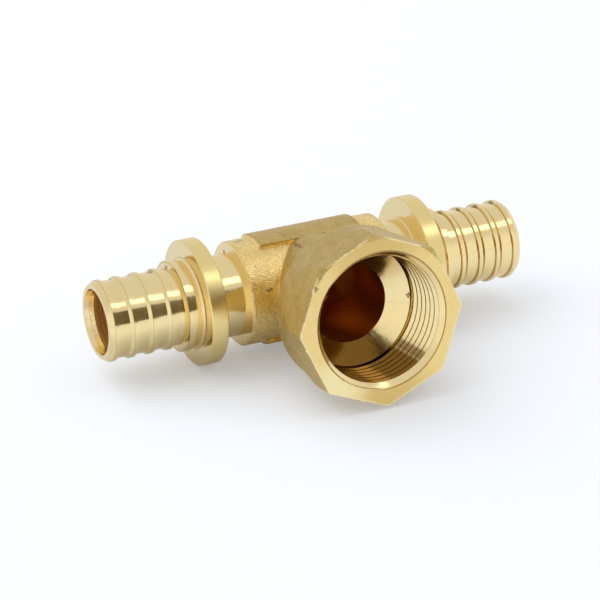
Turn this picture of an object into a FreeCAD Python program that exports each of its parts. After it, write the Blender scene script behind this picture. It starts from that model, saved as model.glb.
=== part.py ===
"""Brass tee for sliding-sleeve plastic pipe: two barbed spigots in line and a threaded female branch."""
import FreeCAD
import Part
import math
import os

Vector = FreeCAD.Vector

# The run lies along X and the branch points to -Y while it is drawn.
# Stations are distances from the crossing of the two axes.
# The finished tee is then leaned back to the angle at which it lies on a flat surface.
ORIGIN = Vector(0, 0, 0)
RUN_AXIS = Vector(1, 0, 0)
BRANCH_AXIS = Vector(0, -1, 0)

# Run bore, for pipe of 20 mm with a 2.8 mm wall
RUN_BORE_RADIUS = 6.1
RUN_HALF_LENGTH = 44.6
MOUTH_RADIUS = 6.55
MOUTH_DEPTH = 1.85

# Spigots: three barbs on a plain land, and a barbed lip at the end
LAND_RADIUS = 7.65
BARB_HEIGHT = 0.45
BARB_COUNT = 3
BARB_PITCH = 3.88
BARB_CREST = 0.8
BARB_RAMP = 0.65
BARB_BACK = 0.1
LIP_CREST = 0.8
NOSE_LENGTH = 1.05
NOSE_DROP = 0.75

# Pipe stop between the spigot and the flange
STOP_RADIUS = 9.1
STOP_LENGTH = 1.25
STOP_CHAMFER = 0.3
STOP_GROOVE_RADIUS = 8.65
STOP_GROOVE_LENGTH = 2.0
STOP_ROOT = 0.45

# Flanges that the pressing tool grips
FLANGE_RADIUS = 12.55
FLANGE_THICKNESS = 3.47
FLANGE_FACE = 25.4
FLANGE_CHAMFER = 0.2

# Turned neck between each flange and the forged body
NECK_RADIUS = 8.28
NECK_RING_HEIGHT = 0.25
NECK_RING_LENGTH = 0.5

# Forged body along the run, with a raised pad above and below
BODY_RADIUS = 10.5
BODY_HALF_LENGTH = 15.85
BODY_EDGE = 0.35
PAD_HEIGHT = 0.65
PAD_HALF_LENGTH = 10.7
PAD_HALF_ANGLE = 25.0
PAD_SLOPE = 0.7

# Forged branch: a hub on the body opens into a bell, with an octagonal collar at its mouth
BRANCH_LENGTH = 34.9
HUB_RADIUS = 10.4
HUB_ROUND = 2.5
BELL_RADIUS = 15.85
BELL_BACK = 21.6
BELL_BACK_ROUND = 2.5
BELL_BACK_ANGLE = 30.0
COLLAR_BACK = 24.6
COLLAR_ACROSS_FLATS = 31.36
COLLAR_CORNER_ROUND = 0.6
COLLAR_RAMP_LENGTH = 5.0
COLLAR_SINK = 0.2
COLLAR_SIDES = 8
CORNER_CHAMFER_ANGLE = 30.0
CORNER_CHAMFER_CLEARANCE = 0.04
CHAMFERED_CORNERS = 3

# Threaded bore of the branch, for a pipe thread of three quarters of an inch:
# its wall stands at the roots of the thread, and its shoulder starts at the drilled core
THREAD_ROOT_RADIUS = 13.22
THREAD_CORE_RADIUS = 12.06
MOUTH_CHAMFER = 0.2
THREAD_BORE_BACK = 22.45
DRILL_HALF_ANGLE = 59.0

# Chamber that joins the branch to the run bore, drilled past the run's axis far enough to clear that bore
CHAMBER_RADIUS = 7.93
CHAMBER_PAST_AXIS = 2.6

CUT_MARGIN = 1.0
EMBED = 6.0


def tangent_arc(before, corner, after, radius):
    """Arc of the given radius that rounds a corner, as its start, middle, end and centre."""
    to_before = (before - corner).normalize()
    to_after = (after - corner).normalize()
    half_angle = to_before.getAngle(to_after) / 2
    reach = radius / math.tan(half_angle)
    bisector = (to_before + to_after).normalize()
    centre = corner + bisector * (radius / math.sin(half_angle))
    middle = centre - bisector * radius
    return corner + to_before * reach, middle, corner + to_after * reach, centre


def outline(points):
    """Closed face through (station, radius, rounding) points in the XY plane."""
    corners = [Vector(station, radius, 0) for station, radius, rounding in points]
    edges = []
    pen = None
    start = None
    for index, corner in enumerate(corners):
        before = corners[index - 1]
        after = corners[(index + 1) % len(corners)]
        rounding = points[index][2]
        if rounding > 0:
            first, middle, last, centre = tangent_arc(before, corner, after, rounding)
        else:
            first, middle, last = corner, None, corner
        if pen is None:
            start = first
        else:
            edges.append(Part.LineSegment(pen, first).toShape())
        if middle is not None:
            edges.append(Part.Arc(first, middle, last).toShape())
        pen = last
    edges.append(Part.LineSegment(pen, start).toShape())
    return Part.Face(Part.Wire(edges))


def turned(points):
    """Solid of revolution about the run, from (station, radius, rounding) points."""
    return outline(points).revolve(ORIGIN, RUN_AXIS, 360)


def turned_about_branch(points, start_angle=0.0, sweep=360.0):
    """Solid of revolution about the branch, whose angles run from +X towards +Z."""
    face = outline(points)
    face.rotate(ORIGIN, Vector(0, 0, 1), -90)
    face.rotate(ORIGIN, BRANCH_AXIS, start_angle)
    return face.revolve(ORIGIN, BRANCH_AXIS, sweep)


def barb_profile(foot):
    """A barb that is steep towards the flange and slopes down towards the nose."""
    crest = LAND_RADIUS + BARB_HEIGHT
    return [
        (foot, LAND_RADIUS, 0),
        (foot + BARB_BACK, crest, 0),
        (foot + BARB_BACK + BARB_CREST, crest, 0),
        (foot + BARB_BACK + BARB_CREST + BARB_RAMP, LAND_RADIUS, 0),
    ]


def spigot_side():
    """Everything turned on one side of the body: neck, flange, pipe stop, barbs and lip."""
    flange_back = FLANGE_FACE - FLANGE_THICKNESS
    ring_start = flange_back - NECK_RING_LENGTH
    stop_start = FLANGE_FACE + STOP_GROOVE_LENGTH
    stop_end = stop_start + STOP_LENGTH
    crest = LAND_RADIUS + BARB_HEIGHT
    lip_foot = RUN_HALF_LENGTH - NOSE_LENGTH - LIP_CREST - BARB_BACK
    first_foot = lip_foot - BARB_COUNT * BARB_PITCH
    points = [
        (BODY_HALF_LENGTH - EMBED, 0, 0),
        (BODY_HALF_LENGTH - EMBED, NECK_RADIUS, 0),
        (ring_start - NECK_RING_HEIGHT, NECK_RADIUS, 0),
        (ring_start, NECK_RADIUS + NECK_RING_HEIGHT, 0),
        (flange_back, NECK_RADIUS + NECK_RING_HEIGHT, 0),
        (flange_back, FLANGE_RADIUS - FLANGE_CHAMFER, 0),
        (flange_back + FLANGE_CHAMFER, FLANGE_RADIUS, 0),
        (FLANGE_FACE - FLANGE_CHAMFER, FLANGE_RADIUS, 0),
        (FLANGE_FACE, FLANGE_RADIUS - FLANGE_CHAMFER, 0),
        (FLANGE_FACE, STOP_GROOVE_RADIUS + STOP_ROOT, 0),
        (FLANGE_FACE + STOP_ROOT, STOP_GROOVE_RADIUS, 0),
        (stop_start, STOP_GROOVE_RADIUS, 0),
        (stop_start, STOP_RADIUS, 0),
        (stop_end, STOP_RADIUS, 0),
        (stop_end + STOP_CHAMFER, LAND_RADIUS, 0),
    ]
    for barb in range(BARB_COUNT):
        points += barb_profile(first_foot + barb * BARB_PITCH)
    points += [
        (lip_foot, LAND_RADIUS, 0),
        (lip_foot + BARB_BACK, crest, 0),
        (lip_foot + BARB_BACK + LIP_CREST, crest, 0),
        (RUN_HALF_LENGTH, crest - NOSE_DROP, 0),
        (RUN_HALF_LENGTH, 0, 0),
    ]
    return turned(points)


def pad(middle_angle):
    """Raised pad on the body, following its curve, with sloped ends."""
    top = BODY_RADIUS + PAD_HEIGHT
    root = BODY_RADIUS - PAD_HEIGHT
    end = PAD_HALF_LENGTH + 2 * PAD_SLOPE
    face = outline([(-end, root, 0), (-PAD_HALF_LENGTH, top, 0), (PAD_HALF_LENGTH, top, 0), (end, root, 0)])
    face.rotate(ORIGIN, RUN_AXIS, middle_angle - PAD_HALF_ANGLE)
    return face.revolve(ORIGIN, RUN_AXIS, 2 * PAD_HALF_ANGLE)


def forged_body():
    """Cylinder along the run with its two pads."""
    barrel = turned([
        (-BODY_HALF_LENGTH, 0, 0),
        (-BODY_HALF_LENGTH, BODY_RADIUS - BODY_EDGE, 0),
        (-BODY_HALF_LENGTH + BODY_EDGE, BODY_RADIUS, 0),
        (BODY_HALF_LENGTH - BODY_EDGE, BODY_RADIUS, 0),
        (BODY_HALF_LENGTH, BODY_RADIUS - BODY_EDGE, 0),
        (BODY_HALF_LENGTH, 0, 0),
    ])
    return barrel.fuse([pad(90.0), pad(-90.0)])


def bell_outline():
    """Outline of the round part of the branch: hub, cone, barrel, and an end that sinks under the flats."""
    slope_length = (BELL_RADIUS - HUB_RADIUS) / math.tan(math.radians(BELL_BACK_ANGLE))
    front = COLLAR_BACK + COLLAR_RAMP_LENGTH
    return [
        (0, 0, 0),
        (0, HUB_RADIUS, 0),
        (BELL_BACK - slope_length, HUB_RADIUS, HUB_ROUND),
        (BELL_BACK, BELL_RADIUS, BELL_BACK_ROUND),
        (COLLAR_BACK, BELL_RADIUS, 0),
        (front, COLLAR_ACROSS_FLATS / 2 - COLLAR_SINK, 0),
        (front, 0, 0),
    ]


def collar_sharp_radius():
    """Distance from the branch axis to the unrounded corner of the octagon."""
    return COLLAR_ACROSS_FLATS / 2 / math.cos(math.pi / COLLAR_SIDES)


def collar_outline():
    """Outline of the turned envelope that lets the collar's corners rise from the bell."""
    sharp = collar_sharp_radius()
    corner = sharp - COLLAR_CORNER_ROUND * (1 / math.cos(math.pi / COLLAR_SIDES) - 1)
    slope = (corner - BELL_RADIUS) / COLLAR_RAMP_LENGTH
    return [
        (COLLAR_BACK - CUT_MARGIN, 0, 0),
        (COLLAR_BACK - CUT_MARGIN, BELL_RADIUS - slope * CUT_MARGIN, 0),
        (COLLAR_BACK + COLLAR_RAMP_LENGTH, corner, 0),
        (BRANCH_LENGTH + CUT_MARGIN, sharp + COLLAR_SINK, 0),
        (BRANCH_LENGTH + CUT_MARGIN, 0, 0),
    ]


def collar():
    """Octagonal collar with a corner straight down, its corners rising from the bell."""
    step = 2 * math.pi / COLLAR_SIDES
    sharp = collar_sharp_radius()
    corners = []
    for side in range(COLLAR_SIDES):
        corners.append((sharp * math.cos(step * side), sharp * math.sin(step * side), COLLAR_CORNER_ROUND))
    face = outline(corners)
    face.rotate(ORIGIN, RUN_AXIS, 90)
    back = COLLAR_BACK - 2 * CUT_MARGIN
    face.translate(BRANCH_AXIS * back)
    prism = face.extrude(BRANCH_AXIS * (BRANCH_LENGTH - back))
    return prism.common(turned_about_branch(collar_outline()))


def corner_chamfers():
    """Shallow cone that takes the sharp tips off the upper corners of the collar."""
    step = 360.0 / COLLAR_SIDES
    inner = COLLAR_ACROSS_FLATS / 2 + CORNER_CHAMFER_CLEARANCE
    outer = COLLAR_ACROSS_FLATS / 2 + 2 * CUT_MARGIN
    slope = math.tan(math.radians(CORNER_CHAMFER_ANGLE))
    ring = [
        (BRANCH_LENGTH + CUT_MARGIN, inner - CUT_MARGIN / slope, 0),
        (BRANCH_LENGTH + CUT_MARGIN, outer, 0),
        (BRANCH_LENGTH - (outer - inner) * slope, outer, 0),
    ]
    sweep = CHAMFERED_CORNERS * step
    return turned_about_branch(ring, 90.0 - sweep / 2, sweep)


def branch_bore():
    """Mouth chamfer, threaded bore, conical shoulder and pointed chamber, as one cutter."""
    slope = math.tan(math.radians(DRILL_HALF_ANGLE))
    shoulder_end = THREAD_BORE_BACK - (THREAD_CORE_RADIUS - CHAMBER_RADIUS) / slope
    return turned_about_branch([
        (BRANCH_LENGTH + CUT_MARGIN, 0, 0),
        (BRANCH_LENGTH + CUT_MARGIN, THREAD_ROOT_RADIUS + MOUTH_CHAMFER + CUT_MARGIN, 0),
        (BRANCH_LENGTH - MOUTH_CHAMFER, THREAD_ROOT_RADIUS, 0),
        (THREAD_BORE_BACK, THREAD_ROOT_RADIUS, 0),
        (THREAD_BORE_BACK, THREAD_CORE_RADIUS, 0),
        (shoulder_end, CHAMBER_RADIUS, 0),
        (-CHAMBER_PAST_AXIS, CHAMBER_RADIUS, 0),
        (-CHAMBER_PAST_AXIS - CHAMBER_RADIUS / slope, 0, 0),
    ])


def run_bore():
    """Straight bore through both spigots, with a slight taper at each mouth."""
    flare = (MOUTH_RADIUS - RUN_BORE_RADIUS) / MOUTH_DEPTH
    end = RUN_HALF_LENGTH + CUT_MARGIN
    wide = MOUTH_RADIUS + flare * CUT_MARGIN
    inner = RUN_HALF_LENGTH - MOUTH_DEPTH
    return turned([
        (-end, 0, 0),
        (-end, wide, 0),
        (-inner, RUN_BORE_RADIUS, 0),
        (inner, RUN_BORE_RADIUS, 0),
        (end, wide, 0),
        (end, 0, 0),
    ])


def lean_on(points, index):
    """Lean at which the flanges and one rounded corner of a branch outline touch the ground together."""
    corners = [Vector(station, radius, 0) for station, radius, rounding in points]
    rounding = points[index][2]
    centre = tangent_arc(corners[index - 1], corners[index], corners[index + 1], rounding)[3]
    return math.degrees(math.atan2(centre.y, centre.x) - math.asin((FLANGE_RADIUS - rounding) / centre.Length))


def lie_angle():
    """Lean of the tee as it lies, on its flanges and on the bell's rear or the collar's lowest ridge."""
    return max(lean_on(bell_outline(), 3), lean_on(collar_outline(), 2))


def tee():
    """The finished tee in its drawing position."""
    side = spigot_side()
    other_side = side.mirror(ORIGIN, RUN_AXIS)
    bell = turned_about_branch(bell_outline())
    outside = forged_body().fuse([bell, collar().cut(corner_chamfers()), side, other_side])
    body = outside.cut([branch_bore(), run_bore()])
    return body.removeSplitter()


def main():
    body = tee()
    lean = lie_angle()
    body.rotate(ORIGIN, RUN_AXIS, -lean)
    solid = body.Solids[0]
    os.makedirs("parts", exist_ok=True)
    solid.exportStep("parts/tee_body.step")
    print("solids", len(body.Solids), "valid", solid.isValid())
    print("lean", round(lean, 3), "volume", round(solid.Volume, 1))


main()
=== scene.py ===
# %% [markdown]
# # A brass pipe tee, photographed on a white table
#
# The object is one piece of brass: two barbed spigots in line, and a threaded branch with an octagonal
# collar. It was forged hot, which left the body and the branch with a fine matt grain, and then turned and
# drilled, which left everything else bright. The solid already has its true shape, so most of the work here
# is finish: where the brass is forged and where it is turned, what marks each process leaves, and what the
# metal mirrors. Two shapes are added: the thread in the branch, and the ragged burr round its collar.

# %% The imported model, which stays as it is
import math
import bpy
import numpy as np
from mathutils import Matrix, Vector


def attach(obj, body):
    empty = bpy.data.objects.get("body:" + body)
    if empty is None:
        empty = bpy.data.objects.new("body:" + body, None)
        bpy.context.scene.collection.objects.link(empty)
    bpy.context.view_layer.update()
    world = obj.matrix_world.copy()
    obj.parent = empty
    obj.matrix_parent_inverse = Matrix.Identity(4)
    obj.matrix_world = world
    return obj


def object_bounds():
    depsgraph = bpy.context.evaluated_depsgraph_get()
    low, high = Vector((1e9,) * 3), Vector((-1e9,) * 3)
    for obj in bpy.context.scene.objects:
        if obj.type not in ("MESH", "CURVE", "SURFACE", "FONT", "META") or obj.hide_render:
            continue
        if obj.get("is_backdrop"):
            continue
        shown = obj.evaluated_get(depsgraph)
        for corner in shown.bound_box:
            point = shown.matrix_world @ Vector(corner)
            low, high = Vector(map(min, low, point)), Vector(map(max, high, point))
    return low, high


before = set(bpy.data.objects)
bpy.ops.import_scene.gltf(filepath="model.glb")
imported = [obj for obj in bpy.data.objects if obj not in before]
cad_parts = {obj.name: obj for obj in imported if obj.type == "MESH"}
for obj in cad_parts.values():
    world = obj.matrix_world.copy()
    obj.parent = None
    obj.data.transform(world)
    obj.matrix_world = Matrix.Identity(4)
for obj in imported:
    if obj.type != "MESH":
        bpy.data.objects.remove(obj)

solid_box = [list(corner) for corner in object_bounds()]
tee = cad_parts["tee_body"]
print("tee, in millimetres:", [[round(1000 * v, 2) for v in corner] for corner in solid_box])

# %% [markdown]
# ## The directions of the tee
#
# The tee lies on its two flanges and on the bell of its branch, so the branch rises a little from the table.
# Everything that was turned is round about one of two lines: the run, which is the X axis, and the branch.
# Positions along and around those lines come up in every finish, so the branch's directions are worked out
# once, here.

# %% Lean, and the measures that several steps share
MM = 0.001
LEAN = math.radians(8.169)
BRANCH_LENGTH = 34.9 * MM
COLLAR_FLAT = 15.68 * MM

branch_out = Vector((0, -math.cos(LEAN), math.sin(LEAN)))
branch_up = Vector((0, math.sin(LEAN), math.cos(LEAN)))
print("the branch rises by", round(math.degrees(LEAN), 2), "degrees")

# %% [markdown]
# ## The camera
#
# The photograph was taken from the front left and above with a long lens, so parallel edges stay nearly
# parallel. The camera is placed by its bearing, its height angle and its distance, as a photographer would
# note them.

# %% Camera
# angles in degrees
VIEW_BEARING = -24.217
VIEW_HEIGHT = 24.514
VIEW_ROLL = -1.348
VIEW_DISTANCE = 568.2 * MM
VIEW_AIM = Vector((-1.789, -1.096, -3.843)) * MM
VIEW_FIELD = 12.005


def place_camera(name):
    """Camera at a bearing, height angle and roll about the aim; bearing 0 looks along +Y."""
    bearing, height, roll = (math.radians(a) for a in (VIEW_BEARING, VIEW_HEIGHT, VIEW_ROLL))
    back = Vector((math.sin(bearing) * math.cos(height), -math.cos(bearing) * math.cos(height),
                   math.sin(height)))
    level = Vector((0, 0, 1)).cross(back).normalized()
    above_level = back.cross(level)
    right = level * math.cos(roll) + above_level * math.sin(roll)
    up = above_level * math.cos(roll) - level * math.sin(roll)
    data = bpy.data.cameras.new(name)
    data.sensor_width = 36
    data.angle = math.radians(VIEW_FIELD)
    data.clip_start = 0.02
    camera = bpy.data.objects.new(name, data)
    turn = Matrix((right, up, back)).transposed().to_4x4()
    camera.matrix_world = Matrix.Translation(VIEW_AIM + back * VIEW_DISTANCE) @ turn
    bpy.context.scene.collection.objects.link(camera)
    return camera


camera = place_camera("camera")
bpy.context.scene.camera = camera
print("camera at", [round(1000 * v) for v in camera.location], "mm")

# %% [markdown]
# ## Helpers for materials
#
# A finish is a web of small nodes, and a few helpers keep it readable. An input is either a number or the
# output of another node. The first helpers add nodes and do arithmetic on values.

# %% Helpers for nodes and values


def put(socket, value):
    """Links a node's output to a socket, or sets the socket to a plain value."""
    if isinstance(value, bpy.types.NodeSocket):
        socket.id_data.links.new(value, socket)
    else:
        socket.default_value = value


def give(node, values):
    """Puts values into several of a node's inputs, by their names or numbers."""
    for key, value in values.items():
        put(node.inputs[key], value)


def add(tree, kind, inputs=None, **settings):
    """Adds a node of one kind, with its settings and its inputs."""
    node = tree.nodes.new(kind)
    for key, value in settings.items():
        setattr(node, key, value)
    give(node, inputs or {})
    return node


def calc(tree, operation, *values):
    """One arithmetic step on values."""
    return add(tree, "ShaderNodeMath", dict(enumerate(values)), operation=operation).outputs[0]


def product(tree, *values):
    """The product of values or masks, taken from the left."""
    result = values[0]
    for value in values[1:]:
        result = calc(tree, "MULTIPLY", result, value)
    return result


def inverse(tree, mask):
    """1 where a mask is 0, and 0 where it is 1."""
    return calc(tree, "SUBTRACT", 1.0, mask)


def below(tree, value, limit):
    """1 where a value is under its limit, and 0 elsewhere."""
    return calc(tree, "LESS_THAN", value, limit)


def above(tree, value, limit):
    """1 where a value is over its limit, and 0 elsewhere."""
    return calc(tree, "GREATER_THAN", value, limit)


def step_up(tree, value, off, on):
    """0 at the value off and beyond it, 1 at the value on and beyond it, and smooth between the two."""
    node = add(tree, "ShaderNodeMapRange", {"Value": value, "From Min": off, "From Max": on},
               interpolation_type="SMOOTHSTEP")
    return node.outputs["Result"]


def axis_distance(tree, first, second):
    """Distance from an axis, from the two coordinates across it."""
    return calc(tree, "SQRT", calc(tree, "ADD", product(tree, first, first), product(tree, second, second)))


# %% [markdown]
# The others mix values, colours and vectors, turn a vector, add noise or a bump, and make and place groups.

# %% Helpers for colours, vectors and groups


def blend(tree, factor, first, second):
    """Mixes two values by a factor."""
    return add(tree, "ShaderNodeMix", {"Factor": factor, 2: first, 3: second}).outputs[0]


def paint(tree, mask, under, over):
    """Lays one colour over another by a mask."""
    return add(tree, "ShaderNodeMix", {"Factor": mask, 6: under, 7: over}, data_type="RGBA").outputs[2]


def mix_vectors(tree, factor, first, second):
    """Mixes two vectors by a factor."""
    return add(tree, "ShaderNodeMix", {0: factor, 4: first, 5: second}, data_type="VECTOR").outputs[1]


def turned_about_run(tree, vector, angle):
    """A vector turned about the run by an angle."""
    return add(tree, "ShaderNodeMapping", {"Vector": vector, "Rotation": (angle, 0, 0)},
               vector_type="POINT").outputs[0]


def noise(tree, position, scale, detail, roughness=0.5):
    """The outputs of a smooth noise at a position."""
    return add(tree, "ShaderNodeTexNoise", {"Vector": position, "Scale": scale, "Detail": detail,
                                            "Roughness": roughness}).outputs


def bump(tree, height, normal, depth, strength):
    """A normal tilted by the slope of a height from 0 to 1, which stands for a depth."""
    return add(tree, "ShaderNodeBump", {"Strength": strength, "Distance": depth, "Height": height,
                                        "Normal": normal}).outputs[0]


def new_group(name, inputs, values, vectors=()):
    """An empty group: inputs as (name, kind, value), and the names of the values and vectors it puts out."""
    group = bpy.data.node_groups.new(name, "ShaderNodeTree")
    for label, kind, value in inputs:
        socket = group.interface.new_socket(label, in_out="INPUT", socket_type="NodeSocket" + kind)
        socket.default_value = value
    for label in values:
        group.interface.new_socket(label, in_out="OUTPUT", socket_type="NodeSocketFloat")
    for label in vectors:
        group.interface.new_socket(label, in_out="OUTPUT", socket_type="NodeSocketVector")
    return group, group.nodes.new("NodeGroupInput"), group.nodes.new("NodeGroupOutput")


def place_group(tree, group, inputs=None):
    """The outputs of a group that is placed in a tree."""
    return add(tree, "ShaderNodeGroup", inputs, node_tree=group).outputs


def describe(group):
    """Prints a group's name, its sockets and how many nodes it holds."""
    print(group.name + ":", [socket.name for socket in group.interface.items_tree], len(group.nodes), "nodes")


# %% [markdown]
# ## Where the brass was forged and where it was turned
#
# One group measures where a point lies on the tee: how far along the run and the branch, and how far from
# their axes. From these come the masks that every finish uses. The forged skin is the outside of the body
# and of the branch; the turned skin is everything beyond the body's end faces, the rim of the collar and all
# the bores.

# %% Group: places on the tee
FLAT_COS = math.cos(math.pi / 8)
FLAT_SIN = math.sin(math.pi / 8)

# what lies within these distances from the run or the branch, or beyond these along them
RUN_BORE_LIMIT = 7.3 * MM
CHAMBER_LIMIT = 8.6 * MM
CHAMBER_BACK = -8.0 * MM
SKIN_LIMIT = 10.2 * MM
HUB_BACK = 6.5 * MM
MOUTH_LIMIT = 13.6 * MM
MOUTH_BACK = 19.0 * MM
SPIGOT_BACK = 15.86 * MM
FLANGE_LIMIT = 13.0 * MM

# where a mask is 0 and where it is 1, as distances along the run or the branch, or from the run
END_FACE_FADE = (15.7 * MM, 15.84 * MM)
BEHIND_RIM_FADE = (34.88 * MM, 34.8 * MM)
SHOULDER_FADE = (19.2 * MM, 20.0 * MM)
NOSE_FADE = (42.4 * MM, 42.8 * MM)
BORE_FADE = (7.9 * MM, 9.0 * MM)
MOUTH_FADE = (33.6 * MM, 33.4 * MM)
BARREL_FADE = (11.0 * MM, 10.75 * MM)
FLANGE_FADE = (12.25 * MM, 12.4 * MM)
EDGE_FADE = (COLLAR_FLAT - 0.35 * MM, COLLAR_FLAT - 0.1 * MM)
FACE_FADE = (BRANCH_LENGTH - 0.45 * MM, BRANCH_LENGTH - 0.15 * MM)


def inside_mask(tree, from_run, from_branch, along_branch, height):
    """Masks of all that lies inside (the run's bore, the chamber and the mouth), and of the mouth alone."""
    in_run = below(tree, from_run, RUN_BORE_LIMIT)
    under_skin = calc(tree, "MAXIMUM", below(tree, from_run, SKIN_LIMIT), above(tree, along_branch, HUB_BACK))
    in_chamber = product(tree, below(tree, from_branch, CHAMBER_LIMIT),
                         above(tree, along_branch, CHAMBER_BACK),
                         below(tree, height, CHAMBER_LIMIT), under_skin)
    in_mouth = product(tree, below(tree, from_branch, MOUTH_LIMIT), above(tree, along_branch, MOUTH_BACK))
    return calc(tree, "MAXIMUM", in_run, calc(tree, "MAXIMUM", in_chamber, in_mouth)), in_mouth


def octagon_reach(tree, wide, tall):
    """How far out a point lies, measured squarely to the nearest flat of the octagon."""
    to_side = calc(tree, "ADD", product(tree, wide, FLAT_COS), product(tree, tall, FLAT_SIN))
    to_top = calc(tree, "ADD", product(tree, wide, FLAT_SIN), product(tree, tall, FLAT_COS))
    return calc(tree, "MAXIMUM", to_side, to_top)


def build_places():
    """Distances along and from the run and the branch, and masks of the surfaces made in different ways."""
    group, _, out = new_group("places on the tee", [], [
        "Along Run", "From Run", "Along Branch", "From Branch", "Spigot", "Forged", "Barrel", "Depth",
        "Bore", "Rim", "Mouth", "Around Branch", "Flange Edge", "Collar Edge"], ["Drawn Position"])
    where = add(group, "ShaderNodeTexCoord").outputs["Object"]
    drawn = turned_about_run(group, where, LEAN)
    x, y, z = add(group, "ShaderNodeSeparateXYZ", {"Vector": drawn}).outputs
    from_run = axis_distance(group, y, z)
    from_branch = axis_distance(group, x, z)
    along_run = calc(group, "ABSOLUTE", x)
    along_branch = product(group, y, -1.0)
    height = calc(group, "ABSOLUTE", z)
    inside, in_mouth = inside_mask(group, from_run, from_branch, along_branch, height)
    in_flange = below(group, from_run, FLANGE_LIMIT)
    spigot = product(group, above(group, along_run, SPIGOT_BACK), in_flange)
    end_face = product(group, step_up(group, along_run, *END_FACE_FADE), in_flange)
    not_rim = step_up(group, along_branch, *BEHIND_RIM_FADE)
    shallow = calc(group, "MAXIMUM", step_up(group, along_branch, *SHOULDER_FADE),
                   step_up(group, along_run, *NOSE_FADE))
    at_edge = step_up(group, octagon_reach(group, along_run, height), *EDGE_FADE)
    give(out, {
        "Along Run": x, "From Run": from_run, "Along Branch": along_branch, "From Branch": from_branch,
        "Spigot": spigot,
        "Forged": product(group, inverse(group, end_face), not_rim, inverse(group, inside)),
        "Barrel": step_up(group, from_run, *BARREL_FADE),
        "Depth": product(group, inside, inverse(group, shallow)),
        "Bore": step_up(group, along_run, *BORE_FADE),
        "Rim": inverse(group, not_rim),
        "Mouth": product(group, in_mouth, step_up(group, along_branch, *MOUTH_FADE)),
        "Around Branch": calc(group, "ARCTAN2", z, x),
        "Flange Edge": product(group, step_up(group, from_run, *FLANGE_FADE), spigot),
        "Collar Edge": product(group, at_edge, step_up(group, along_branch, *FACE_FADE)),
        "Drawn Position": drawn})
    return group


places = build_places()
describe(places)

# %% [markdown]
# ## Faces turned on the lathe
#
# A lathe leaves crisp edges: a barb is a narrow land, a steep back and a sloping front, with no softness
# between. On such a face the normal has a fixed part along the axis, and the rest of it points straight away
# from the axis. So it can be rebuilt exactly from the flat facet and the position, and the rings stay sharp
# and round.

# %% Group: turned normal
# the drilled part of the branch, from its chamber to the end of its shoulder
DRILLED_LIMIT = 12.3 * MM
DRILLED_BACK = 10.5 * MM
DRILLED_FRONT = 23.0 * MM


def rebuilt_normal(tree, facet, place, from_axis, axis):
    """Normal that keeps the facet's part along an axis and points straight away from it with the rest."""
    first, second = (index for index in range(3) if index != axis)
    facing = calc(tree, "ADD", product(tree, facet[first], place[first]),
                  product(tree, facet[second], place[second]))
    rest_squared = calc(tree, "SUBTRACT", 1.0, product(tree, facet[axis], facet[axis]))
    rest = calc(tree, "SQRT", calc(tree, "MAXIMUM", rest_squared, 0.0))
    share = calc(tree, "DIVIDE", product(tree, rest, calc(tree, "SIGN", facing)), from_axis)
    rebuilt = {axis: facet[axis], first: product(tree, place[first], share),
               second: product(tree, place[second], share)}
    return add(tree, "ShaderNodeCombineXYZ", rebuilt).outputs[0]


def build_turned_normal():
    """Smooth normal on forged skin and thread, and a rebuilt one wherever the brass was turned or drilled."""
    group, _, out = new_group("turned normal", [], [], ["Normal"])
    spot = place_group(group, places)
    place = add(group, "ShaderNodeSeparateXYZ", {"Vector": spot["Drawn Position"]}).outputs
    geometry = add(group, "ShaderNodeNewGeometry").outputs
    flat = turned_about_run(group, geometry["True Normal"], LEAN)
    facet = add(group, "ShaderNodeSeparateXYZ", {"Vector": flat}).outputs
    about_run = rebuilt_normal(group, facet, place, spot["From Run"], 0)
    about_branch = rebuilt_normal(group, facet, place, spot["From Branch"], 1)
    drawn = mix_vectors(group, spot["Spigot"], about_branch, about_run)
    in_branch = product(group, below(group, spot["From Branch"], DRILLED_LIMIT),
                        above(group, spot["Along Branch"], DRILLED_BACK),
                        below(group, spot["Along Branch"], DRILLED_FRONT), inverse(group, spot["Forged"]))
    turned = calc(group, "MAXIMUM", spot["Spigot"], in_branch)
    rebuilt = turned_about_run(group, drawn, -LEAN)
    give(out, {"Normal": mix_vectors(group, turned, geometry["Normal"], rebuilt)})
    return group


turned_normal = build_turned_normal()
describe(turned_normal)

# %% [markdown]
# ## Turning marks
#
# A lathe tool leaves a very fine spiral of rings about the axis of turning. They are too fine to count, but
# they draw the highlights out around the axis. They are a noise that changes quickly along the axis and
# hardly at all around it, used as a slight bump and a slight change of roughness.

# %% Group: turning marks


def build_turning_marks():
    """Rings about an axis, from the distance along it and the distance from it, as a height and a tone."""
    group, inputs, out = new_group("turning marks", [
        ("Along", "Float", 0.0), ("From", "Float", 0.0), ("Rings per Metre", "Float", 5000.0)],
        ["Height", "Tone"])
    given = inputs.outputs
    rings = add(group, "ShaderNodeCombineXYZ", {
        "X": product(group, given["Along"], given["Rings per Metre"]),
        "Y": product(group, given["From"], given["Rings per Metre"])}).outputs[0]
    give(out, {"Height": noise(group, rings, 1.0, 3.0)["Fac"], "Tone": noise(group, rings, 0.12, 2.0)["Fac"]})
    return group


turning_marks = build_turning_marks()
describe(turning_marks)

# %% [markdown]
# ## Dents, scars and stains
#
# This tee has been in a bin with others: there are small dark dents along the tops of the barbs, two scars
# on the upper edge of the body, a scratch on the body's front and a nick in the collar. Each mark is a small
# ellipsoid around a point of the surface. Noise frays its edge, and inside it the brass is sunk and stained.

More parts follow.
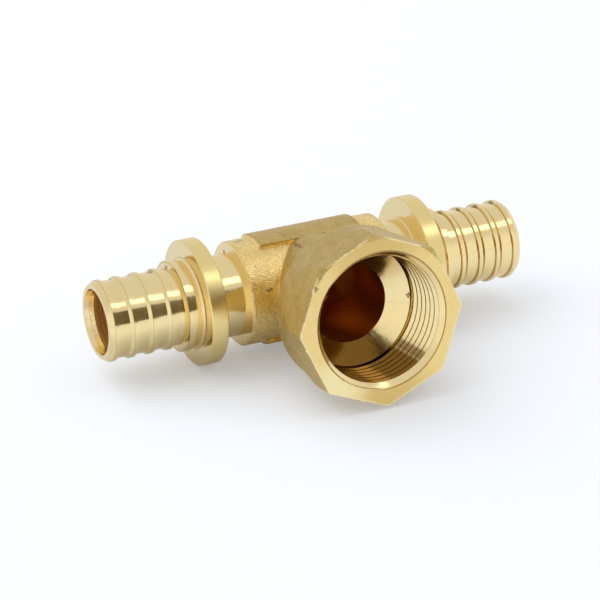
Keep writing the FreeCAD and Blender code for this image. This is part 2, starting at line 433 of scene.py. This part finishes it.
# %% Group: wear marks
# centre and half size of each mark, in millimetres along the run, towards the back and up
MARKS = [
    ((-13.9, -0.2, 10.5), (1.3, 0.35, 0.4)), ((-15.85, 2.4, 8.2), (0.4, 0.55, 0.45)),
    ((-4.3, -7.2, 9.5), (0.4, 2.4, 0.8)), ((-12.0, -10.2, 2.5), (0.9, 0.5, 0.45)),
    ((-12.9, -34.9, 8.8), (0.45, 0.6, 0.5)), ((-40.4, 1.6, 7.6), (0.5, 0.9, 0.5)),
    ((-36.6, 1.5, 7.6), (0.5, 1.0, 0.5)), ((-32.5, 0.4, 7.7), (0.65, 1.3, 0.5)),
    ((-28.9, 0.8, 7.9), (0.45, 0.9, 0.5)), ((11.8, -22.2, -0.3), (0.4, 0.45, 0.5)),
    ((31.2, 0.6, 7.6), (0.5, 1.1, 0.5)), ((34.9, 0.3, 7.6), (0.5, 1.0, 0.5)),
    ((38.6, 0.2, 7.6), (0.6, 1.2, 0.5)), ((42.6, 0.6, 7.7), (0.5, 1.1, 0.5)),
]
SCRATCH = ((-13.7, -8.4, 6.2), (0.16, 1.2, 1.5))
FRAYS_PER_METRE = 1900.0
FRAY_REACH = 1.1 * MM


def mark_at(tree, position, centre, half_size):
    """1 inside an ellipsoid about a centre, fading to 0 at its half size."""
    middle = tuple(MM * c for c in centre)
    stretch = tuple(1 / (MM * h) for h in half_size)
    gap = add(tree, "ShaderNodeVectorMath", {0: position, 1: middle}, operation="SUBTRACT").outputs[0]
    scaled = add(tree, "ShaderNodeVectorMath", {0: gap, 1: stretch}, operation="MULTIPLY").outputs[0]
    distance = add(tree, "ShaderNodeVectorMath", {0: scaled}, operation="LENGTH").outputs["Value"]
    return step_up(tree, distance, 1.0, 0.7)


def frayed_position(tree, position):
    """A position shifted to and fro by fine noise."""
    fray = noise(tree, position, FRAYS_PER_METRE, 2.0)["Color"]
    shift = add(tree, "ShaderNodeVectorMath", {0: fray, 1: (0.5, 0.5, 0.5)}, operation="SUBTRACT").outputs[0]
    shift = add(tree, "ShaderNodeVectorMath", {0: shift, "Scale": FRAY_REACH}, operation="SCALE").outputs[0]
    return add(tree, "ShaderNodeVectorMath", {0: position, 1: shift}, operation="ADD").outputs[0]


def build_wear():
    """Masks of the stained dents and of the bright scratch."""
    group, _, out = new_group("wear", [], ["Dent", "Scratch"])
    position = frayed_position(group, place_group(group, places)["Drawn Position"])
    dents = 0.0
    for centre, half_size in MARKS:
        dents = calc(group, "MAXIMUM", dents, mark_at(group, position, centre, half_size))
    give(out, {"Dent": dents, "Scratch": mark_at(group, position, *SCRATCH)})
    return group


wear = build_wear()
describe(wear)

# %% [markdown]
# ## The turned fan, painted as light and shade
#
# A cone turned with a feed shows a fan of light and dark sectors, because its rings only scatter light in
# the plane that crosses them. Here that fan is painted into the colour: a brown painted shade low on the
# left of the shoulder in the branch, and a golden painted reflection above. Both follow the angle around
# the branch, with fine streaks of noise along their edges.

# %% Group: turned fan
# angles around the branch, in radians, where each sector is 0 and where it is 1, at its two ends
SHADE_SECTOR_ENDS = ((-0.85, -1.15), (-2.8, -2.4))
REFLECTION_SECTOR_ENDS = ((0.2, 0.8), (2.0, 1.4))
SWAY = 0.9
STREAKS_AROUND = 5.0
STREAKS_OUTWARDS = 90.0
THREAD_FADE = (22.4 * MM, 23.4 * MM)
THREAD_DROP = 0.25


def build_fan():
    """Masks by the angle around the branch: a brown painted shade low down, and a golden painted reflection
    above.
    """
    group, _, out = new_group("turned fan", [], ["Painted Shade", "Painted Reflection"])
    spot = place_group(group, places)
    angle = spot["Around Branch"]
    streaks = add(group, "ShaderNodeCombineXYZ", {
        "X": product(group, angle, STREAKS_AROUND),
        "Y": product(group, spot["From Branch"], STREAKS_OUTWARDS)}).outputs[0]
    streak = calc(group, "SUBTRACT", noise(group, streaks, 1.0, 4.0)["Fac"], 0.5)
    swayed = calc(group, "ADD", angle, product(group, streak, SWAY))
    # the painted shade ends a little lower on the thread than on the shoulder
    on_thread = step_up(group, spot["Along Branch"], *THREAD_FADE)
    lowered = calc(group, "SUBTRACT", swayed, product(group, on_thread, THREAD_DROP))
    brown = product(group, step_up(group, lowered, *SHADE_SECTOR_ENDS[0]), step_up(group, swayed, *SHADE_SECTOR_ENDS[1]))
    golden = product(group, step_up(group, swayed, *REFLECTION_SECTOR_ENDS[0]), step_up(group, swayed, *REFLECTION_SECTOR_ENDS[1]))
    give(out, {"Painted Shade": product(group, brown, spot["Mouth"]),
               "Painted Reflection": product(group, golden, spot["Mouth"])})
    return group


fan = build_fan()
describe(fan)

# %% [markdown]
# ## Painted shade lines
#
# Where a turned form changes direction, a fine dark line of painted shade is laid: at the foot and at the
# crest's edge of each barb, at both sides of the pipe stop, beside the flange, and around the mouth of the
# branch. The barbs repeat at an even pitch, so their lines come from the remainder of the distance after
# whole pitches.

# %% Group: painted shade lines
FIRST_BARB = 31.01 * MM
BARB_PITCH = 3.88 * MM
BARB_EDGE = 0.95 * MM
NECK_RING = 21.43 * MM
FLANGE_FACE = 25.4 * MM
STOP_BACK = 27.4 * MM
STOP_FRONT = 28.68 * MM
STOP_LIMIT = 9.3 * MM
SPIGOT_LINE_STRENGTH = 0.4
LINE_FADE = (0.098 * MM, 0.021 * MM)
MOUTH_LINE = 13.54 * MM
MOUTH_LINE_FADE = (0.17 * MM, 0.08 * MM)
# angle from the branch's right side at which the mouth's line starts, and at which it is full
MOUTH_LINE_ENDS = (1.9, 1.3)


def line_at(tree, distance, place, fade=LINE_FADE):
    """1 on a fine line at a place along a distance, fading to 0 beside it."""
    return step_up(tree, calc(tree, "ABSOLUTE", calc(tree, "SUBTRACT", distance, place)), *fade)


def build_shade_lines():
    """Mask of the fine lines of painted shade where a turned form changes direction."""
    group, _, out = new_group("painted shade lines", [], ["Line"])
    spot = place_group(group, places)
    along = calc(group, "ABSOLUTE", spot["Along Run"])
    past_first = calc(group, "SUBTRACT", along, FIRST_BARB - BARB_PITCH / 4)
    turn = calc(group, "MODULO", past_first, BARB_PITCH)
    barbs = calc(group, "MAXIMUM", line_at(group, turn, BARB_PITCH / 4),
                 line_at(group, turn, BARB_PITCH / 4 + BARB_EDGE))
    lines = product(group, barbs, above(group, past_first, 0.0))
    for station in (NECK_RING, FLANGE_FACE, STOP_BACK, STOP_FRONT):
        lines = calc(group, "MAXIMUM", lines, line_at(group, along, station))
    low = below(group, spot["From Run"], STOP_LIMIT)
    lines = product(group, lines, product(group, low, spot["Spigot"]), SPIGOT_LINE_STRENGTH)
    around = calc(group, "ABSOLUTE", spot["Around Branch"])
    mouth = product(group, line_at(group, spot["From Branch"], MOUTH_LINE, MOUTH_LINE_FADE), spot["Rim"],
                    step_up(group, around, *MOUTH_LINE_ENDS))
    give(out, {"Line": calc(group, "MAXIMUM", lines, mouth)})
    return group


shade_lines = build_shade_lines()
describe(shade_lines)

# %% [markdown]
# ## Forged grain
#
# The die and the scale on the hot billet leave the forged skin finely pitted, and blasting evens it to a
# matt grain that glitters where the light is low. Small pits lie on a slow waviness, and the brass is a
# little deeper in colour in the hollows.

# %% Group: forged grain
WAVES_PER_METRE = 420.0
# shares of the pits and of the waves
HEIGHT_SHARES = (0.7, 0.9)
TONE_SHARES = (0.65, 0.35)


def build_forged_grain():
    """Grain of pits on slow waves, as a height for a bump and as a tone from dark to light."""
    group, inputs, out = new_group("forged grain", [
        ("Position", "Vector", (0, 0, 0)), ("Grains per Metre", "Float", 3000.0)], ["Height", "Tone"])
    given = inputs.outputs
    grain = noise(group, given["Position"], given["Grains per Metre"], 2.0, 0.7)["Fac"]
    waves = noise(group, given["Position"], WAVES_PER_METRE, 3.0, 0.55)["Fac"]
    for label, (of_pits, of_waves) in (("Height", HEIGHT_SHARES), ("Tone", TONE_SHARES)):
        put(out.inputs[label], calc(group, "ADD", product(group, grain, of_pits),
                                    product(group, waves, of_waves)))
    return group


forged_grain = build_forged_grain()
describe(forged_grain)

# %% [markdown]
# ## The brass itself
#
# Bare brass mirrors its surroundings in its own colour, a pale yellow. Deep in the bores the light has
# bounced many times; the colour there is painted deeper with depth, red-brown, as painted shade, and the
# run's bore shines less like metal. The material lays three finishes side by side by their masks: a bright
# turned one, a matt forged one and a drilled one deepened by painted shade. A painted highlight on the
# collar's edge, painted shade lines and the marks lie over them. First come the colours, each finish by a
# function of its own.

# %% Colours of the brass
TURNED_LIGHT = (0.92, 0.76, 0.41, 1)
TURNED_DEEP = (0.87, 0.68, 0.33, 1)
RIM = (0.94, 0.72, 0.30, 1)
# the rim's painted shade, which is also the colour of its grain's hollows, and its painted highlight
RIM_SHADE_AND_HOLLOW = (0.78, 0.57, 0.21, 1)
RIM_PAINTED_HIGHLIGHT = (1.0, 0.86, 0.46, 1)
FLANGE = (0.88, 0.70, 0.31, 1)
# painted golden reflection and painted brown shade of the shoulder's fan
PAINTED_GOLDEN_REFLECTION = (0.74, 0.48, 0.15, 1)
PAINTED_BROWN_SHADE = (0.19, 0.085, 0.008, 1)
BARREL_LIGHT = (1.0, 0.76, 0.32, 1)
BARREL_DEEP = (0.78, 0.56, 0.20, 1)
BELL_LIGHT = (0.66, 0.49, 0.18, 1)
BELL_DEEP = (0.50, 0.355, 0.12, 1)
# painted shade: the deeper colours of the chamber and of the run's bore stand for the shade inside them
CHAMBER = (0.66, 0.30, 0.05, 1)
BORE_NEAR = (0.95, 0.34, 0.03, 1)
BORE = (0.42, 0.20, 0.05, 1)
# painted highlight along the collar's edge, and the colour of the bright scratch
EDGE_HIGHLIGHT_AND_SCRATCH = (0.98, 0.84, 0.50, 1)
# colour of the painted shade lines
LINE = (0.30, 0.17, 0.04, 1)
STAIN = (0.22, 0.13, 0.03, 1)

# how fully the two painted sectors, the painted shade lines and the stains cover what is under them
PAINTED_REFLECTION_COVER = 0.8
PAINTED_SHADE_COVER = 0.97
LINE_COVER = 0.84
STAIN_COVER = 0.65

# on the rim: the sines between which painted shade deepens the colour, towards the top and the bottom,
# and the angle of a painted highlight and its fade to both sides, in radians
SHADE_SINE_FADE = (0.7, 1.0)
HIGHLIGHT_ANGLE = -2.3
HIGHLIGHT_ANGLE_FADE = (0.6, 0.1)

# tones of the grain, or heights of the rings, where one colour gives way to the other
RIM_HOLLOW_FADE = (0.45, 0.30)
RAISED_FADE = (0.36, 0.60)
RAGGED_FADE = (0.42, 0.50)
VALLEY_FADE = (0.62, 0.40)

# distance along the run over which painted shade turns its bore from red to brown
BORE_DEEPENS = (15.0 * MM, 30.0 * MM)


def turned_colour(tree, spot, rings, grain):
    """Bright brass with its streaks, the rim's painted shade and highlight, the flange's edge, the painted
    fan.
    """
    colour = paint(tree, rings["Tone"], TURNED_DEEP, TURNED_LIGHT)
    upright = calc(tree, "ABSOLUTE", calc(tree, "SINE", spot["Around Branch"]))
    # painted shade towards the rim's top and bottom, and a painted highlight low on its left
    rim = paint(tree, step_up(tree, upright, *SHADE_SINE_FADE), RIM, RIM_SHADE_AND_HOLLOW)
    from_highlight = calc(tree, "ABSOLUTE", calc(tree, "SUBTRACT", spot["Around Branch"], HIGHLIGHT_ANGLE))
    rim = paint(tree, step_up(tree, from_highlight, *HIGHLIGHT_ANGLE_FADE), rim, RIM_PAINTED_HIGHLIGHT)
    rim = paint(tree, step_up(tree, grain["Tone"], *RIM_HOLLOW_FADE), rim, RIM_SHADE_AND_HOLLOW)
    colour = paint(tree, spot["Rim"], colour, rim)
    colour = paint(tree, spot["Flange Edge"], colour, FLANGE)
    # the shoulder's fan of painted reflection and painted shade
    sectors = place_group(tree, fan)
    colour = paint(tree, product(tree, sectors["Painted Reflection"], PAINTED_REFLECTION_COVER), colour, PAINTED_GOLDEN_REFLECTION)
    return paint(tree, product(tree, sectors["Painted Shade"], PAINTED_SHADE_COVER), colour, PAINTED_BROWN_SHADE)


def forged_colour(tree, spot, grain):
    """Matt brass, deeper in the hollows of its grain, and paler on the barrel than on the bell."""
    hollow = paint(tree, spot["Barrel"], BELL_DEEP, BARREL_DEEP)
    raised = paint(tree, spot["Barrel"], BELL_LIGHT, BARREL_LIGHT)
    return paint(tree, step_up(tree, grain["Tone"], *RAISED_FADE), hollow, raised)


def drilled_colour(tree, spot, rings):
    """Painted shade: brown brass in the chamber, and in the run's bore a red one that turns brown further
    out.
    """
    far = step_up(tree, calc(tree, "ABSOLUTE", spot["Along Run"]), *BORE_DEEPENS)
    drilled = paint(tree, spot["Bore"], CHAMBER, paint(tree, far, BORE_NEAR, BORE))
    return paint(tree, step_up(tree, rings["Height"], *VALLEY_FADE), drilled, CHAMBER)


def marked_colour(tree, colour, spot, grain, worn):
    """A colour under the collar's painted edge highlight, the painted shade lines, the stained dents and the
    scratch.
    """
    # a painted highlight along the collar's edge, frayed by the grain
    ragged = step_up(tree, grain["Tone"], *RAGGED_FADE)
    colour = paint(tree, product(tree, spot["Collar Edge"], ragged), colour, EDGE_HIGHLIGHT_AND_SCRATCH)
    # fine lines of painted shade where a turned form changes direction
    colour = paint(tree, product(tree, place_group(tree, shade_lines)["Line"], LINE_COVER), colour, LINE)
    colour = paint(tree, product(tree, worn["Dent"], STAIN_COVER), colour, STAIN)
    return paint(tree, worn["Scratch"], colour, EDGE_HIGHLIGHT_AND_SCRATCH)


# %% [markdown]
# A turned face is almost a mirror, with duller streaks, and a forged one is rough. The normal starts as the
# rebuilt one, and each bump tilts what the one before it gives: rings, chatter, grain and marks.

# %% Roughness and bumps of the brass
TURNED_ROUGHNESS = 0.06
STREAK_ROUGHNESS = 0.13
DRILLED_ROUGHNESS = 0.34
RIM_ROUGHNESS = 0.42
FLANGE_ROUGHNESS = 0.27
BELL_ROUGHNESS = 0.40
BARREL_ROUGHNESS = 0.20
GRAIN_ROUGHNESS = 0.12

# depth of each bump, and how strongly it counts
RING_BUMP = (0.01 * MM, 0.4)
CHATTER_BUMP = (0.03 * MM, 0.5)
GRAIN_DEPTH = 0.17 * MM
BELL_GRAIN_STRENGTH = 0.38
BARREL_GRAIN_STRENGTH = 1.0
MARK_BUMP = (0.2 * MM, 1.0)
CHATTERS_PER_METRE = 650.0


def brass_roughness(tree, spot, rings, grain):
    """Smooth where the brass is turned, with duller streaks, and rough where it is forged."""
    turned = calc(tree, "ADD", TURNED_ROUGHNESS, product(tree, rings["Tone"], STREAK_ROUGHNESS))
    turned = blend(tree, spot["Depth"], turned, DRILLED_ROUGHNESS)
    turned = blend(tree, spot["Rim"], turned, RIM_ROUGHNESS)
    turned = blend(tree, spot["Flange Edge"], turned, FLANGE_ROUGHNESS)
    forged = calc(tree, "ADD", blend(tree, spot["Barrel"], BELL_ROUGHNESS, BARREL_ROUGHNESS),
                  product(tree, grain["Tone"], GRAIN_ROUGHNESS))
    return blend(tree, spot["Forged"], turned, forged)


def brass_normal(tree, spot, rings, grain, worn):
    """The turned normal, tilted by the rings, by the tool's chatter, by the grain and by the marks."""
    crisp = place_group(tree, turned_normal)["Normal"]
    ringed = bump(tree, rings["Height"], crisp, *RING_BUMP)
    # the tool chatters a little, so that mirrored edges are not quite straight
    chatter = noise(tree, spot["Drawn Position"], CHATTERS_PER_METRE, 3.0, 0.6)["Fac"]
    shaken = bump(tree, chatter, ringed, *CHATTER_BUMP)
    coarseness = blend(tree, spot["Barrel"], BELL_GRAIN_STRENGTH, BARREL_GRAIN_STRENGTH)
    strength = product(tree, spot["Forged"], coarseness)
    grained = bump(tree, grain["Height"], shaken, GRAIN_DEPTH, strength)
    unmarked = inverse(tree, calc(tree, "MAXIMUM", worn["Dent"], worn["Scratch"]))
    return bump(tree, unmarked, grained, *MARK_BUMP)


# %% [markdown]
# The material places each group and hands what it gives to those functions. Rings run about the run outside
# the body, and about the branch within it. In the run's bore most of the metal's shine is taken away.

# %% Material: brass
NEAR_BRANCH_FADE = (15.9 * MM, 15.7 * MM)
BORE_DULLING = 0.7


def brass_material(name):
    """Brass whose colour, roughness and normal follow the places on the tee."""
    material = bpy.data.materials.new(name)
    material.use_nodes = True
    tree = material.node_tree
    tree.nodes.clear()
    shader = add(tree, "ShaderNodeBsdfPrincipled")
    add(tree, "ShaderNodeOutputMaterial", {"Surface": shader.outputs[0]})
    spot = place_group(tree, places)
    near_branch = step_up(tree, calc(tree, "ABSOLUTE", spot["Along Run"]), *NEAR_BRANCH_FADE)
    rings = place_group(tree, turning_marks, {
        "Along": blend(tree, near_branch, spot["Along Run"], spot["Along Branch"]),
        "From": blend(tree, near_branch, spot["From Run"], spot["From Branch"])})
    grain = place_group(tree, forged_grain, {"Position": spot["Drawn Position"]})
    worn = place_group(tree, wear)
    colour = paint(tree, spot["Forged"], turned_colour(tree, spot, rings, grain),
                   forged_colour(tree, spot, grain))
    colour = paint(tree, spot["Depth"], colour, drilled_colour(tree, spot, rings))
    dulled = product(tree, spot["Depth"], spot["Bore"], BORE_DULLING)
    give(shader, {"Base Color": marked_colour(tree, colour, spot, grain, worn),
                  "Metallic": inverse(tree, dulled),
                  "Roughness": brass_roughness(tree, spot, rings, grain),
                  "Normal": brass_normal(tree, spot, rings, grain, worn)})
    return material


brass = brass_material("brass")
for index in range(len(tee.data.materials)):
    tee.data.materials[index] = brass
print("brass:", len(brass.node_tree.nodes), "nodes, beside those in its groups")

# %% [markdown]
# ## The thread
#
# A pipe thread is a spiral ridge. Here it is one surface of two parameters: the angle around the branch and
# the distance along it. The distance along, less a pitch for every turn, says how far up the ridge's flank a
# point lies; the mouth's chamfer cuts the first turn away, and the last one stops just short of the shoulder.

# %% Thread in the branch
THREAD_ROOT = 13.22 * MM
THREAD_CREST = 12.3 * MM
THREAD_PITCH = 1.814 * MM
THREAD_BACK = 22.75 * MM
# in turns
THREAD_PHASE = 0.39
# of half a pitch: the flat root, and the flank
ROOT_SHARE = 0.05
FLANK_SHARE = 0.80
MOUTH_RADIUS = 13.42 * MM
ABOVE_WALL = 0.02 * MM


def ridge_height(phase):
    """Height of the ridge, 0 at the root and 1 at the crest, from the phase in turns: a cut-off triangle."""
    wave = 1 - np.abs(2 * (phase % 1.0) - 1)
    return np.clip((wave - ROOT_SHARE) / FLANK_SHARE, 0, 1)


def around_branch(along, radius, angle):
    """Points at distances along the branch, at radii and angles about its axis; angle 0 is along the run."""
    out = along[..., None] * np.array(branch_out)
    across = (radius * np.cos(angle))[..., None] * np.array((1.0, 0, 0))
    up = (radius * np.sin(angle))[..., None] * np.array(branch_up)
    return out + across + up


def surface(name, points):
    """Mesh from a grid of points that closes around its second direction."""
    rows, columns = points.shape[:2]
    start = np.arange(rows - 1)[:, None] * columns
    column = np.arange(columns)[None, :]
    first = start + column
    beside = start + (column + 1) % columns
    quads = np.stack([first, first + columns, beside + columns, beside], axis=-1).reshape(-1, 4)
    mesh = bpy.data.meshes.new(name)
    mesh.from_pydata(points.reshape(-1, 3).tolist(), [], quads.tolist())
    mesh.shade_smooth()
    mesh.materials.append(brass)
    piece = bpy.data.objects.new(name, mesh)
    bpy.context.scene.collection.objects.link(piece)
    return piece


def thread_points(columns=240, rows_per_pitch=28):
    """Radius = root less the ridge's height, but never inside the chamfer's cone at the mouth."""
    rows = int((BRANCH_LENGTH - THREAD_BACK) / THREAD_PITCH * rows_per_pitch)
    along = np.linspace(THREAD_BACK, BRANCH_LENGTH, rows)[:, None]
    angle = np.linspace(0, 2 * np.pi, columns, endpoint=False)[None, :]
    height = ridge_height(along / THREAD_PITCH - angle / (2 * np.pi) - THREAD_PHASE)
    radius = THREAD_ROOT - (THREAD_ROOT - THREAD_CREST) * height - ABOVE_WALL
    cone = MOUTH_RADIUS - (BRANCH_LENGTH - along)
    radius = np.maximum(radius, cone - ABOVE_WALL)
    back = around_branch(np.array([[THREAD_BACK]]), THREAD_ROOT, angle)
    return np.concatenate([back, around_branch(along, radius, angle)], axis=0)


thread = surface("branch_thread", thread_points())
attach(thread, "root")
print("thread:", len(thread.data.polygons), "faces")

# %% [markdown]
# ## The burr round the collar
#
# The face of the collar was turned last, and the tool pushed a ragged burr over the edges of the octagon. It
# could be a bump, but then the outline would stay perfectly straight. So it is a thin lip swept around the
# octagon, whose height wanders between nothing and a quarter of a millimetre. It stays off the topmost
# corner, where the collar reaches its full height.

# %% Burr
CORNER_ROUND = 0.6 * MM
# the corners within this angle of straight up are chamfered, from a radius at the face and at a slope
CHAMFER_REACH = 3 * math.pi / 8
CHAMFER_START = 15.72 * MM
CHAMFER_SLOPE = math.tan(math.radians(30.0))

# the noise fades out above so many waves around the collar, and lifts the lip where it passes the threshold
BURR_SEED = 20
BURR_WAVES = 60.0
BURR_THRESHOLD = 0.35
BURR_RANGE = 1.6
BURR_HEIGHT = 0.26 * MM
TOPMOST_SINE = 0.98

# the lip's four points: depth behind the face, and distance out from the octagon's edge,
# each as a fixed part and a share of the burr's height there
LIP = [
    ((0.015 * MM, 0.0), (-0.30 * MM, 0.0)),
    ((0.015 * MM, 0.0), (-0.05 * MM, 0.6)),
    ((0.10 * MM, 0.5), (-0.015 * MM, 1.0)),
    ((0.50 * MM, 0.0), (-0.015 * MM, 0.0)),
]


def octagon_radius(angle):
    """Distance from the branch axis to the rounded octagon: the flat's own, or the arc's near a corner."""
    step = np.pi / 4
    off_flat = (angle % step) - step / 2
    flat = COLLAR_FLAT / np.cos(off_flat)
    off_corner = (angle + step / 2) % step - step / 2
    centre = (COLLAR_FLAT - CORNER_ROUND) / FLAT_COS
    inside = CORNER_ROUND ** 2 - (centre * np.sin(off_corner)) ** 2
    arc = centre * np.cos(off_corner) + np.sqrt(np.maximum(inside, 0))
    return np.where(inside > 0, np.minimum(flat, arc), flat)


def burr_lift(angle):
    """Height of the burr: smoothed noise where it rises above its threshold, and nothing elsewhere."""
    count = len(angle)
    draws = np.random.default_rng(BURR_SEED).standard_normal(count)
    fading = np.exp(-(np.arange(count // 2 + 1) / BURR_WAVES) ** 2)
    coarse = np.fft.irfft(np.fft.rfft(draws) * fading, count)
    lift = np.clip(coarse / coarse.std() - BURR_THRESHOLD, 0, BURR_RANGE) / BURR_RANGE
    return np.where(np.sin(angle) < TOPMOST_SINE, lift * BURR_HEIGHT, 0)


def burr_points(count=900):
    """A lip of four points at each angle, on the octagon or, at the upper corners, on their chamfer."""
    angle = np.linspace(0, 2 * np.pi, count, endpoint=False)
    lift = burr_lift(angle)
    depth = np.stack([fixed + share * lift for (fixed, share), _ in LIP])
    outwards = np.stack([fixed + share * lift for _, (fixed, share) in LIP])
    chamfered = np.abs(angle - np.pi / 2) < CHAMFER_REACH
    chamfer = np.where(chamfered, CHAMFER_START + depth / CHAMFER_SLOPE, np.inf)
    edge = np.minimum(octagon_radius(angle), chamfer)
    return around_branch(BRANCH_LENGTH - depth, edge + outwards, angle)


burr = surface("collar_burr", burr_points())
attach(burr, "root")
print("burr:", len(burr.data.polygons), "faces")

# %% [markdown]
# ## The table and the light
#
# The photograph shows a white table, so bright that it blends into the background. A faint glow keeps the
# floor that white without too much light on the brass.

# %% Floor
FLOOR_COLOUR = (0.60, 0.628, 0.685)
FLOOR_GLOW = 0.26
FLOOR_REACH = 3.0
MATT = 0.8

# the brass mirrors all of the glow ahead of a line that slants back on the right, and a share of it behind
GLOW_SLANT = 0.6
GLOW_FADE = (0.0, -0.04)
BEHIND_SHARE = 0.3


def plain_material(name, colour, glow=0.0):
    """One even matt colour, with a glow if wanted, which the brass mirrors mostly in front of the tee."""
    material = bpy.data.materials.new(name)
    material.use_nodes = True
    tree = material.node_tree
    where = add(tree, "ShaderNodeTexCoord").outputs["Object"]
    aside, ahead, _ = add(tree, "ShaderNodeSeparateXYZ", {"Vector": where}).outputs
    slant = calc(tree, "SUBTRACT", ahead, product(tree, calc(tree, "MAXIMUM", aside, 0.0), GLOW_SLANT))
    in_front = calc(tree, "MAXIMUM", step_up(tree, slant, *GLOW_FADE), BEHIND_SHARE)
    seen = add(tree, "ShaderNodeLightPath").outputs["Is Camera Ray"]
    give(tree.nodes["Principled BSDF"], {
        "Base Color": (*colour, 1), "Roughness": MATT, "Emission Color": (1, 1, 1, 1),
        "Emission Strength": product(tree, calc(tree, "MAXIMUM", seen, in_front), glow)})
    return material


def panel(name, corners, material):
    """A flat four-cornered sheet."""
    mesh = bpy.data.meshes.new(name)
    mesh.from_pydata(corners, [], [(0, 1, 2, 3)])
    sheet = bpy.data.objects.new(name, mesh)
    sheet.data.materials.append(material)
    bpy.context.scene.collection.objects.link(sheet)
    sheet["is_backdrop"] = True
    return sheet


floor_level = solid_box[0][2]
floor = panel("floor", [(-FLOOR_REACH, -FLOOR_REACH, floor_level), (FLOOR_REACH, -FLOOR_REACH, floor_level),
                        (FLOOR_REACH, FLOOR_REACH, floor_level), (-FLOOR_REACH, FLOOR_REACH, floor_level)],
              plain_material("white table", FLOOR_COLOUR, FLOOR_GLOW))
print("floor at", round(1000 * floor_level, 2), "mm")

# %% [markdown]
# A wide soft light stands above and behind on the left, so the shadow is soft and falls to the front right.
# Polished metal shows what surrounds it, so there is also a small softbox high at the front right, whose
# white image runs along both spigots, and a dark card low in front, which draws the dark strip along the
# left one. Places and sizes are in metres, and powers in watts.

# %% Lights
KEY_PLACE = (-0.44, 0.45, 0.82)
KEY_SIZE = (1.5, 1.2)
KEY_POWER = 7.5
SOFTBOX_PLACE = (0.27, -0.27, 0.59)
SOFTBOX_SIZE = (0.28, 0.16)
SOFTBOX_POWER = 0.16
CARD_COLOUR = (0.12, 0.09, 0.045)
CARD_SIDES = (-0.08, 0.12)
CARD_HEIGHTS = (0.02, 0.27)
CARD_AHEAD = -0.30


def soft_light(name, place, size, power):
    """A rectangular soft light at a place, turned towards the tee."""
    data = bpy.data.lights.new(name, "AREA")
    data.shape = "RECTANGLE"
    data.size, data.size_y = size
    data.energy = power
    light = bpy.data.objects.new(name, data)
    light.location = place
    light.rotation_euler = (-Vector(place)).to_track_quat("-Z", "Y").to_euler()
    bpy.context.scene.collection.objects.link(light)
    return light


key = soft_light("key", KEY_PLACE, KEY_SIZE, KEY_POWER)
key.visible_glossy = False
soft_light("front softbox", SOFTBOX_PLACE, SOFTBOX_SIZE, SOFTBOX_POWER)

(left, right), (low, high) = CARD_SIDES, CARD_HEIGHTS
card = panel("dark card", [(left, CARD_AHEAD, low), (right, CARD_AHEAD, low),
                           (right, CARD_AHEAD, high), (left, CARD_AHEAD, high)],
             plain_material("dark card", CARD_COLOUR))
card.visible_camera = False
card.visible_shadow = False
card.visible_diffuse = False

# %% [markdown]
# The rest of the studio is a pale room, brighter low down in front and on the right.

# %% Room
ROOM_STRENGTH = 0.79
ROOM_EXTRA = 0.21
FRONT_FADE = (0.0, -0.6)
RIGHT_FADE = (0.2, 0.8)
RIGHT_SHARE = 0.7
LOW_FADE = (0.75, 0.35)


def build_room(name):
    """A pale room, a little brighter low down in front and on the right."""
    room = bpy.data.worlds.new(name)
    room.use_nodes = True
    tree = room.node_tree
    direction = add(tree, "ShaderNodeTexCoord").outputs["Generated"]
    aside, ahead, height = add(tree, "ShaderNodeSeparateXYZ", {"Vector": direction}).outputs
    on_right = product(tree, step_up(tree, aside, *RIGHT_FADE), RIGHT_SHARE)
    brighter = calc(tree, "MAXIMUM", step_up(tree, ahead, *FRONT_FADE), on_right)
    extra = product(tree, brighter, step_up(tree, height, *LOW_FADE), ROOM_EXTRA)
    give(tree.nodes["Background"], {"Color": (1, 1, 1, 1),
                                    "Strength": calc(tree, "ADD", ROOM_STRENGTH, extra)})
    return room


bpy.context.scene.world = build_room("studio")
print("room:", bpy.context.scene.world.name)
bpy.context.scene.view_settings.view_transform = "Standard"

# %% [markdown]
# ## Sizes at the end
#
# Both boxes, of the solid and of the dressed tee, are measured, and the largest difference between them is
# printed. The dressed tee has to fill the same box as the solid.

# %% Boxes, and the end
dressed_box = [list(corner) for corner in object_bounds()]
worst = max(abs(a - b) for p, q in zip(solid_box, dressed_box) for a, b in zip(p, q))
print("boxes differ by at most", worst)
